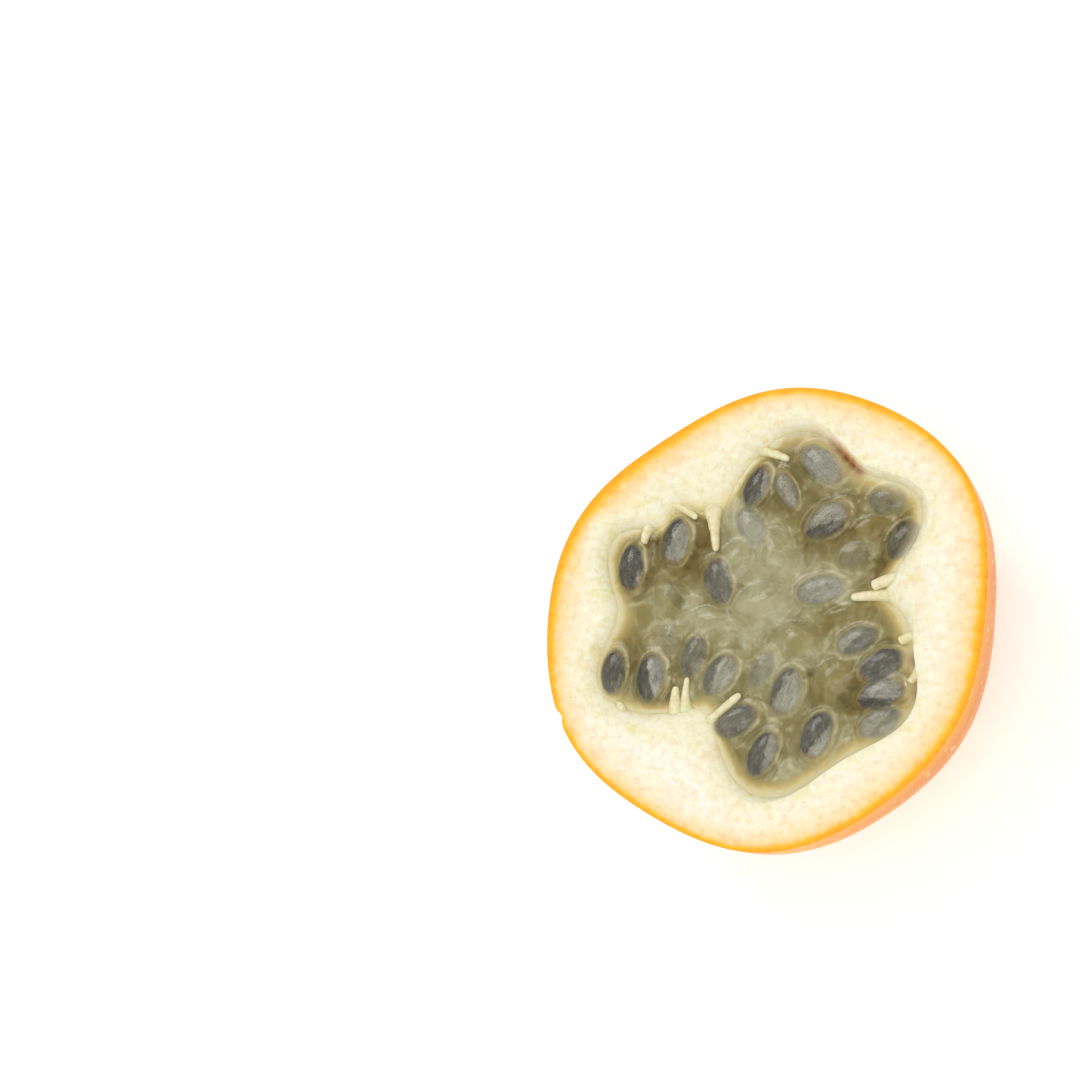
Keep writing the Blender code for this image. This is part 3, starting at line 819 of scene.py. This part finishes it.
# The sacs' jelly: wet and clear, milky in places, so that the seeds show through it softened.
def clearJelly():
    finish, tree = newMaterial("clearJelly")
    where = addNode(tree, "TexCoord").outputs["Object"]
    valley, milky, film, halo, fromWall, gapShade = [
        addNode(tree, "Attribute", attribute_name=name).outputs["Fac"]
        for name in ("valley", "milky", "film", "halo", "fromWall", "gapShade")
    ]
    # clouds 4 mm wide
    cloud = addNode(tree, "TexNoise", {
        "Vector": where, "Scale": 1000 / 4.0, "Detail": 6.0, "Roughness": 0.65, "Distortion": 0.8,
    })
    mixed = addNode(tree, "Math", [milky, 0.6, cloud], operation="MULTIPLY_ADD")
    haze = addNode(tree, "MapRange", [mixed, 0.45, 1.10, 0.94, 0.45])
    tint = addNode(tree, "ValToRGB", [mixed], [
        (0.40, "#b49c4c"), (0.58, "#c6b570"), (0.78, "#ccc28a"), (1.0, "#d0cba0"),
    ])
    # white wisps in the milky sacs
    wisps = addNode(tree, "TexNoise", {
        "Vector": where, "Scale": 1000 / 4.6, "Detail": 6.0, "Roughness": 0.62, "Distortion": 1.6,
    })
    wisp = addNode(tree, "MapRange", [wisps, 0.52, 0.70, 0.0, 0.75])
    white = addNode(tree, "Math", [wisp, milky], operation="MULTIPLY")
    # the skins where two sacs meet, mostly too thin to see
    skins = addNode(tree, "MapRange", [valley, 0.6, 1.0, 0.0, 1.0])
    broken = addNode(tree, "MapRange", [cloud, 0.46, 0.66, 0.0, 0.55])
    thin = addNode(tree, "Math", [skins, broken], operation="MULTIPLY")
    # the pale edge of the sac round a shallow seed, with painted light on its side towards the light
    rim = addNode(tree, "MapRange", [wisps, 0.40, 0.56, 0.15, 0.95])
    rims = addNode(tree, "Math", [halo, rim], operation="MULTIPLY")
    skin = addNode(tree, "Math", [thin, rims], operation="MAXIMUM")
    # cream against the wall, then a golden line, then the sacs' own colour
    stray = addNode(tree, "Math", [cloud, -0.5], operation="ADD")
    strayed = addNode(tree, "Math", [stray, 2.4, fromWall], operation="MULTIPLY_ADD")
    wall = addNode(tree, "MapRange", [strayed, 3.2, 0.8, 0.0, 1.0])
    out = addNode(tree, "Math", [strayed, 4.0], operation="DIVIDE")
    wallTint = addNode(tree, "ValToRGB", [out], [
        (0.0, "#f9f2d0"), (0.16, "#f6eab6"), (0.34, "#ecd488"), (0.52, "#dcc476"), (0.8, "#cfc084"),
    ])
    walled = addNode(tree, "Mix", [wall, haze, 0.32], data_type="FLOAT")
    misty = addNode(tree, "Mix", [white, walled, 0.3], data_type="FLOAT")
    lined = addNode(tree, "Mix", [skin, misty, 0.25], data_type="FLOAT")
    # brown painted shade in the gap along the wall
    atWall = addNode(tree, "MapRange", [fromWall, 1.8, 0.3, 0.0, 1.0])
    gapShadeHere = addNode(tree, "Math", [atWall, gapShade], operation="MULTIPLY")
    opened = addNode(tree, "Mix", [gapShadeHere, lined, 0.55], data_type="FLOAT")
    clear = addNode(tree, "Mix", [film, opened, 0.97], data_type="FLOAT")
    nearer = addNode(tree, "Mix", [wall, tint, wallTint], data_type="RGBA")
    whiter = addNode(tree, "Mix", [white, nearer, "#d8d5b8"], data_type="RGBA")
    edged = addNode(tree, "Mix", [skin, whiter, "#ece3ba"], data_type="RGBA")
    gapShaded = addNode(tree, "Mix", [gapShadeHere, edged, "#a8690c"], data_type="RGBA")
    colour = addNode(tree, "Mix", [film, gapShaded, "#f3f1e4"], data_type="RGBA")
    ripple = addNode(tree, "TexNoise", {"Vector": where, "Scale": 1000 / 1.6, "Detail": 2.0})
    relief = addNode(tree, "Bump", {"Height": ripple, "Strength": 0.25, "Distance": 0.0002})
    surface = addNode(tree, "BsdfPrincipled", {
        "Base Color": colour, "Transmission Weight": clear, "Roughness": 0.09,
        "IOR": 1.36, "Normal": relief,
    })
    addNode(tree, "OutputMaterial", {"Surface": surface})
    return finish


# What lies deeper: jelly upon jelly, which the eye reads as one murky olive.
def murkyPulp():
    finish, tree = newMaterial("murkyPulp")
    where = addNode(tree, "TexCoord").outputs["Object"]
    fromWall, valley, milky, gapShade = [
        addNode(tree, "Attribute", attribute_name=name).outputs["Fac"]
        for name in ("fromWall", "valley", "milky", "gapShade")
    ]
    cloud = addNode(tree, "TexNoise", {
        "Vector": where, "Scale": 1000 / 6.0, "Detail": 5.0, "Roughness": 0.62, "Distortion": 1.5,
    })
    mixed = addNode(tree, "Math", [milky, 0.3, cloud], operation="MULTIPLY_ADD")
    base = addNode(tree, "ValToRGB", [mixed], [
        (0.38, "#a0863a"), (0.52, "#b29c50"), (0.66, "#bdae6c"), (0.84, "#c2bb8e"),
    ])
    # the valleys where two sacs meet darkened: painted shade
    valleyShade = addNode(tree, "Math", [valley, cloud], operation="MULTIPLY")
    gaps = addNode(tree, "Mix", [valleyShade, base, "#86722e"], data_type="RGBA")
    edge = addNode(tree, "MapRange", [fromWall, 4.0, 0.3, 0.0, 0.85])
    colour = addNode(tree, "Mix", [edge, gaps, "#e6cf86"], data_type="RGBA")
    # brown painted shade in the gaps along the wall
    gapShaded = addNode(tree, "Mix", [gapShade, colour, "#a0640e"], data_type="RGBA")
    surface = addNode(tree, "BsdfPrincipled", {
        "Base Color": gapShaded, "Roughness": 0.5, "IOR": 1.36,
        "Subsurface Weight": 0.3, "Subsurface Scale": 0.002,
    })
    addNode(tree, "OutputMaterial", {"Surface": surface})
    return finish


seed = {
    "thick": 2.2,
    "margin": 0.32,  # mm, the pale skirt round the dark body
    "skirt": 0.12,  # thickness of that skirt, as a share of the seed's
    "pointed": 0.26,  # share by which it narrows towards its tip
    "broad": 0.14,  # and widens towards its blunt end
    "flank": 72,  # degrees between its length and the line across its two facets
    "facetFall": 0.3,  # how much lower a facet lies at its outer edge
    "wrinkle": 0.06,  # mm
    "roll": 12,  # degrees, the most that it lies tilted
    "pitch": 7,
    "bedded": 0.15,  # mm under the jelly
    "coverShare": 0.8,  # and as much more of the jelly said to be over it
    "mistFrom": 0.9,  # mm of jelly that are clear
    "mistDepth": 3.4,  # mm more that hide a seed by two thirds
    "litSide": 40.0,  # degrees from +X, roughly the side painted as lit on the seeds' facets and skirts and the sacs' halos
    "deepCount": 16,  # seeds sought a place further down, where there is one
    "deepTries": 4000,
    "deepBelow": (3.4, 4.4),  # mm below the cut
    "deepWithin": 24,  # mm from the axis
    "deepFromWall": 3.5,  # mm from the wall
    "deepWallAt": 4.0,  # mm, the depth at which the wall is taken
    "deepApart": 5.6,  # mm from one middle to the next
    "deepLength": (6, 7),
    "deepWidth": (3.6, 4.2),
    # share of a deep seed's coat painted pale as its lit facet
    "deepLitFacet": 0.3,
    "deepRoll": 25,
    "deepPitch": 15,
}


# A flat pitted drop, blunt at one end, with a crest between its two facets and a thin skirt round it.
def addSeed(bm, names, x, y, top, heading, length, width, litFacet, roll, pitch):
    one = bmesh.new()
    layers = {name: one.verts.layers.float.new(name) for name in names}
    coat = one.verts.layers.float_vector.new("coat")
    bmesh.ops.create_uvsphere(one, u_segments=40, v_segments=28, radius=1)
    long, wide = length / 2 + seed["margin"], width / 2 + seed["margin"]
    bodyShare = width / 2 / wide
    turned = math.radians(heading + 90 - seed["litSide"])
    flank = math.radians(math.copysign(seed["flank"], math.cos(turned)))
    reach = math.hypot(long * math.cos(flank), wide * math.sin(flank))
    crestAt = min(max(1 - 2 * litFacet, -0.6), 0.6)  # kept off the seed's edge
    for vertex in one.verts:
        flat = math.hypot(vertex.co.x, vertex.co.y)
        body = max(0.0, 1 - (flat / bodyShare) ** 2) ** 0.5
        skirt = seed["skirt"] * (1 - flat ** 4)
        side = math.copysign(1, vertex.co.z) if abs(vertex.co.z) > 1e-6 else 0
        taper = 1 + seed["broad"] * vertex.co.x ** 3
        if vertex.co.x < 0:
            taper = 1 - seed["pointed"] * vertex.co.x ** 2
        along, aside = vertex.co.x * long, vertex.co.y * wide * taper
        across = (along * math.cos(flank) + aside * math.sin(flank)) / reach
        crest = 1 - seed["facetFall"] * abs(across - crestAt)
        vertex[layers["out"]] = flat / bodyShare
        vertex[layers["along"]] = vertex.co.x
        vertex[layers["across"]] = across
        # where the facet painted as lit begins, across the seed
        vertex[layers["litFacet"]] = across - (1 - 2 * litFacet)
        vertex[coat] = Vector((along * 0.5, aside, x * 5))
        wave = noise.noise(Vector((along * 0.5 + x, aside * 1.8 + y, side)))
        height = side * (body * crest * 0.9 + skirt) * seed["thick"] / 2
        vertex.co = (along, aside, height + seed["wrinkle"] * wave * body)
    for degrees, axis in ((roll, "X"), (pitch, "Y"), (heading, "Z")):
        spin(one, degrees, axis)
    rise = max(v.co.z for v in one.verts)
    bmesh.ops.translate(one, verts=one.verts, vec=(x, y, top - rise))
    pourInto(bm, one)


# Hard dark coat with lengthwise streaks and pits, one facet painted pale as lit by the light (painted
# light), a cream skirt, a tan tip.
def pittedSeedCoat():
    finish, tree = newMaterial("pittedSeedCoat")
    out, along, across, litFacet, mist = [
        addNode(tree, "Attribute", attribute_name=name).outputs["Fac"]
        for name in ("out", "along", "across", "litFacet", "mist")
    ]
    coat = addNode(tree, "Attribute", attribute_name="coat").outputs["Vector"]  # mm, drawn out lengthwise
    # pits 0.24 mm apart, streaks 0.75 mm wide and twice as long
    pits = addNode(tree, "TexVoronoi", {"Vector": coat, "Scale": 1 / 0.24}, feature="DISTANCE_TO_EDGE")
    streaks = addNode(tree, "TexNoise", {
        "Vector": coat, "Scale": 1 / 0.75, "Detail": 5.0, "Roughness": 0.72, "Distortion": 0.3,
    })
    dark = addNode(tree, "ValToRGB", [streaks], [
        (0.36, "#2e2c22"), (0.48, "#504d3f"), (0.58, "#75725f"), (0.67, "#a19d88"),
    ])
    # the facet towards the light painted pale grey: painted light
    pale = addNode(tree, "ValToRGB", [streaks], [
        (0.34, "#989891"), (0.46, "#c2c1b9"), (0.58, "#d8d7d0"), (0.70, "#e8e7e1"),
    ])
    ragged = addNode(tree, "Math", [streaks, -0.5], operation="ADD")
    edgeAt = addNode(tree, "Math", [ragged, 0.5, litFacet], operation="MULTIPLY_ADD")
    litFacetMask = addNode(tree, "MapRange", [edgeAt, -0.08, 0.08, 0.0, 0.92])
    body = addNode(tree, "Mix", [litFacetMask, dark, pale], data_type="RGBA")
    pit = addNode(tree, "MapRange", [pits, 0.0, 0.25, 0.7, 1.0])
    pitted = addNode(tree, "Mix", [1.0, body, pit], data_type="RGBA", blend_type="MULTIPLY")
    tipAt = addNode(tree, "Math", [ragged, 0.8, along], operation="MULTIPLY_ADD")
    tip = addNode(tree, "MapRange", [tipAt, 0.66, 0.84, 0.0, 0.85])
    tipped = addNode(tree, "Mix", [tip, pitted, "#b27c40"], data_type="RGBA")
    # the skirt is painted broader and brighter on the lit side and darker across from it: painted light
    # and shade
    skirtAt = addNode(tree, "Math", [across, 0.08, out], operation="MULTIPLY_ADD")
    loose = addNode(tree, "Math", [ragged, 0.25, skirtAt], operation="MULTIPLY_ADD")
    margin = addNode(tree, "MapRange", [loose, 0.97, 1.10, 0.0, 0.95])
    bright = addNode(tree, "MapRange", [across, -0.8, 0.7, 0.0, 1.0])
    rim = addNode(tree, "Mix", [bright, "#948858", "#d9cea2"], data_type="RGBA")
    edged = addNode(tree, "Mix", [margin, tipped, rim], data_type="RGBA")
    veiled = addNode(tree, "Mix", [mist, edged, "#aba678"], data_type="RGBA")
    relief = addNode(tree, "Bump", {"Height": pits, "Strength": 0.5, "Distance": 0.00012})
    surface = addNode(tree, "BsdfPrincipled", {
        "Base Color": veiled, "Roughness": 0.42, "Normal": relief, "IOR": 1.45,
    })
    addNode(tree, "OutputMaterial", {"Surface": surface})
    return finish


def makeSeeds():
    bm = bmesh.new()
    names = ("out", "along", "across", "litFacet")
    for name in names:
        bm.verts.layers.float.new(name)
    bm.verts.layers.float_vector.new("coat")
    rule = random.Random(5)
    for x, y, heading, length, width, cover, litFacet, _ in pulp["seeds"]:
        surface = jellyTop(np.array([[x, y, 0.0]]))[0]
        top = surface - seed["bedded"] - cover * seed["coverShare"]
        roll = rule.uniform(-seed["roll"], seed["roll"])
        pitch = rule.uniform(-seed["pitch"], seed["pitch"])
        addSeed(bm, names, x, y, top, heading, length, width, litFacet, roll, pitch)
    placed = [(x, y) for x, y, *_ in pulp["seeds"]]
    tries = 0
    while len(placed) < len(pulp["seeds"]) + seed["deepCount"] and tries < seed["deepTries"]:
        tries += 1
        around, out = rule.uniform(0, 360), seed["deepWithin"] * math.sqrt(rule.random())
        x, y = out * math.cos(math.radians(around)), out * math.sin(math.radians(around))
        wall = hollowRadius(around, seed["deepWallAt"])
        crowded = any(math.hypot(x - a, y - b) < seed["deepApart"] for a, b in placed)
        if out > wall - seed["deepFromWall"] or crowded:
            continue
        placed.append((x, y))
        top = fruit["cutHeight"] - rule.uniform(*seed["deepBelow"])
        heading = rule.uniform(0, 360)
        length, width = rule.uniform(*seed["deepLength"]), rule.uniform(*seed["deepWidth"])
        roll = rule.uniform(-seed["deepRoll"], seed["deepRoll"])
        pitch = rule.uniform(-seed["deepPitch"], seed["deepPitch"])
        addSeed(bm, names, x, y, top, heading, length, width, seed["deepLitFacet"], roll, pitch)
    bmesh.ops.recalc_face_normals(bm, faces=bm.faces)
    thing = toObject("seeds", bm)
    place = points(thing.data)
    under = np.clip(jellyTop(place) - place[:, 2] - seed["mistFrom"], 0, None)
    paint(thing.data, "mist", 1 - np.exp(-under / seed["mistDepth"]))
    finishPiece(thing, "pulp", "pulp", pittedSeedCoat())
    print("seeds", len(placed), len(thing.data.polygons))


def makePulp():
    jelly = pulpBody(
        "jellySacs", 0.0, pulp["jellyFoot"], pulp["jellyVoxel"], sacs() + swellings(), pulp["jellySoften"],
    )
    bedStalks(jelly.data)
    paintSacs(jelly.data)
    paintFilm(jelly.data)
    finishPiece(jelly, "pulp", "pulp", clearJelly())
    print("jelly", len(jelly.data.polygons))
    lower = pulp["bedLower"]
    lumps = sacs(lower, pulp["bedShrink"])
    bed = pulpBody("pulpBed", lower, pulp["bedFoot"], pulp["bedVoxel"], lumps, pulp["bedSoften"])
    paintSacs(bed.data)
    finishPiece(bed, "pulp", "pulp", murkyPulp())
    print("bed", len(bed.data.polygons))
    makeSeeds()


makeCamera()
makeStudio()
makeRind()
makeStalks()
makePulp()
